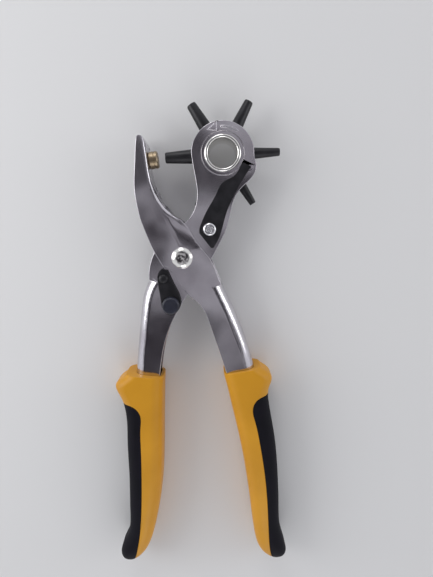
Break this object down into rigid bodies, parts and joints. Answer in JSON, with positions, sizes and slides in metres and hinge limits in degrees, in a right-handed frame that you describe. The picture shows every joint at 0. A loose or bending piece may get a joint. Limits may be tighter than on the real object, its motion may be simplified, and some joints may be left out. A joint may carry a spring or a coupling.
{
  "type": "rotary hole punch",
  "caption": "Hand plier for punching round holes: stamped levers on a rivet, indexed turret of hollow cutting tubes, brass anvil pad, return spring, latch and two-part grips.",
  "frame": {"origin": "on the lever pivot's axis, at the flat rear head of the pivot rivet, which is the surface the tool lies on", "axes": "+X to the right seen from the front, +Y towards the jaws, +Z out of the front face"},
  "size_m": [0.0961, 0.2571, 0.0236],
  "materials": {
    "plated_steel": "polished plating",
    "polished_rivet": "polished",
    "spring_steel": "drawn wire",
    "zinc_screw": "bright zinc",
    "black_steel": "satin black oxide",
    "brass": "turned",
    "knob_plastic": "satin moulded",
    "grip_shell": "satin moulded",
    "grip_inlay": "matt soft moulding"
  },
  "bodies": {
    "turret_lever": {"turret_lever": "plated_steel", "pivot_rivet": "polished_rivet", "pivot_bush": "plated_steel", "return_spring": "spring_steel", "turret_eyelet": "polished_rivet", "eyelet_washer": "spring_steel", "index_spring": "black_steel", "index_spring_screw": "zinc_screw", "latch_rivet": "black_steel", "left_grip": "grip_shell", "left_grip_inlay": "grip_inlay"},
    "anvil_lever": {"anvil_lever": "plated_steel", "anvil_pad": "brass", "right_grip": "grip_shell", "right_grip_inlay": "grip_inlay"},
    "turret": {"turret_wheel": "black_steel", "punch_tube_5_0": "black_steel", "punch_tube_4_5": "black_steel", "punch_tube_4_0": "black_steel", "punch_tube_3_5": "black_steel", "punch_tube_3_0": "black_steel", "punch_tube_2_5": "black_steel"},
    "latch": {"latch_lever": "black_steel", "latch_knob": "knob_plastic"}
  },
  "joints": [
    {"name": "lever_pivot", "type": "hinge", "parent": "turret_lever", "child": "anvil_lever", "pos_m": [0, 0, 0.011], "axis": [0, 0, 1], "range_deg": [-4.2, 8], "stiffness_Nm_per_rad": 1.5, "springref_deg": 22.92, "deforming": ["return_spring"]},
    {"name": "turret_spin", "type": "hinge", "parent": "turret_lever", "child": "turret", "pos_m": [0.0208, 0.0526, 0.011], "axis": [0, 0, 1], "continuous": true, "deforming": ["index_spring"]},
    {"name": "latch_swing", "type": "hinge", "parent": "turret_lever", "child": "latch", "pos_m": [-0.0099, -0.0109, 0.0185], "axis": [0, 0, 1], "range_deg": [0, 10]}
  ]
}
